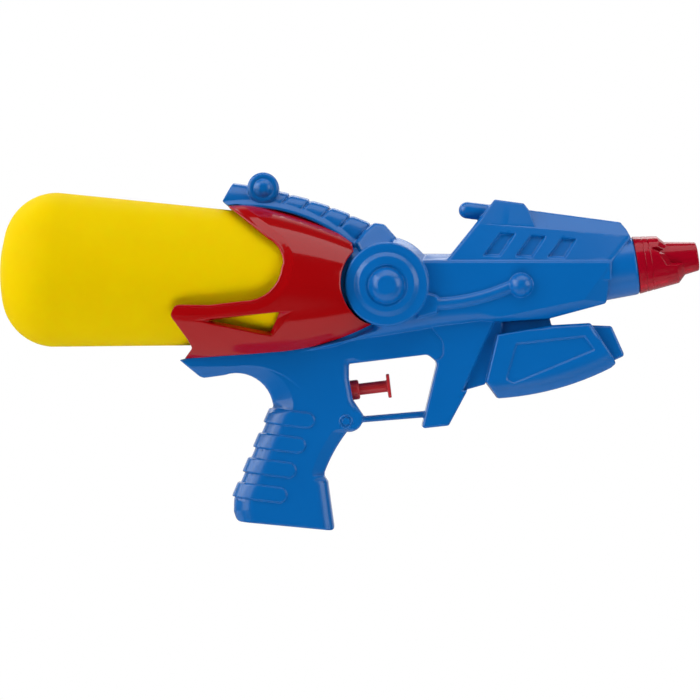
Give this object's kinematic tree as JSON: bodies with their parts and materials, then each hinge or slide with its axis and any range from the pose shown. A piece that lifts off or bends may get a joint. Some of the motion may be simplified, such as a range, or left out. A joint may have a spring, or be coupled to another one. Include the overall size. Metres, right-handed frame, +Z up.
{
  "type": "toy water squirter",
  "caption": "Hand-held toy water squirter: two-part shell with grip and trigger, screw-in rear tank, side cheeks, pump inside and a stepped muzzle.",
  "frame": {"origin": "middle of the grip, on the seam plane between the two half shells, where the hand holds it", "axes": "+X to the muzzle, +Z up, +Y to the left side; Y = 0 is the seam plane"},
  "size_m": [0.3328, 0.0772, 0.1698],
  "materials": {
    "shell_blue": "satin moulded polystyrene",
    "cheek_red": "glossy moulded polystyrene",
    "tank_yellow": "satin blown polyethylene",
    "trigger_red": "satin moulded plastic",
    "muzzle_red": "glossy see-through plastic",
    "white_plastic": "natural moulded polypropylene",
    "clear_hose": "soft clear vinyl",
    "black_rubber": "matte rubber",
    "spring_steel": "zinc-plated steel"
  },
  "bodies": {
    "body": {"right_shell": "shell_blue", "left_shell": "shell_blue", "right_cheek": "cheek_red", "left_cheek": "cheek_red", "tank_socket": "white_plastic", "dip_tube": "clear_hose", "suction_tube": "clear_hose", "delivery_tube": "clear_hose", "pump_barrel": "white_plastic", "pump_gland": "trigger_red", "return_spring": "spring_steel", "valve_tower": "white_plastic", "inlet_nipple": "white_plastic", "outlet_nipple": "white_plastic", "nozzle_jet": "white_plastic", "muzzle": "muzzle_red", "shell_screws": "spring_steel"},
    "trigger_set": {"trigger": "trigger_red", "piston": "white_plastic", "piston_ring": "black_rubber"},
    "tank_ring": {"tank_washer": "black_rubber"},
    "tank": {"water_tank": "tank_yellow"},
    "inlet_valve": {"inlet_ball": "spring_steel"},
    "outlet_valve": {"outlet_ball": "spring_steel"}
  },
  "joints": [
    {"name": "trigger_pull", "type": "slide", "parent": "body", "child": "trigger_set", "axis": [-0.993, 0, -0.1184], "range_m": [0, 0.011], "stiffness_N_per_m": 400, "springref_m": -0.006, "deforming": ["return_spring"]},
    {"name": "tank_slide", "type": "slide", "parent": "body", "child": "tank_ring", "axis": [-0.999, 0, 0.0454], "range_m": [0, 0.009]},
    {"name": "tank_turn", "type": "hinge", "parent": "tank_ring", "child": "tank", "pos_m": [0.046, 0, 0.07604], "axis": [-0.999, 0, 0.0454], "range_deg": [0, 1081]},
    {"name": "inlet_lift", "type": "slide", "parent": "body", "child": "inlet_valve", "axis": [-0.1184, 0, 0.993], "range_m": [0, 0.0015]},
    {"name": "outlet_lift", "type": "slide", "parent": "body", "child": "outlet_valve", "axis": [-0.1184, 0, 0.993], "range_m": [0, 0.0015]}
  ],
  "couplings": [
    {"joint": "tank_turn", "follows": "tank_slide", "rad_per_m": 2094.4}
  ]
}
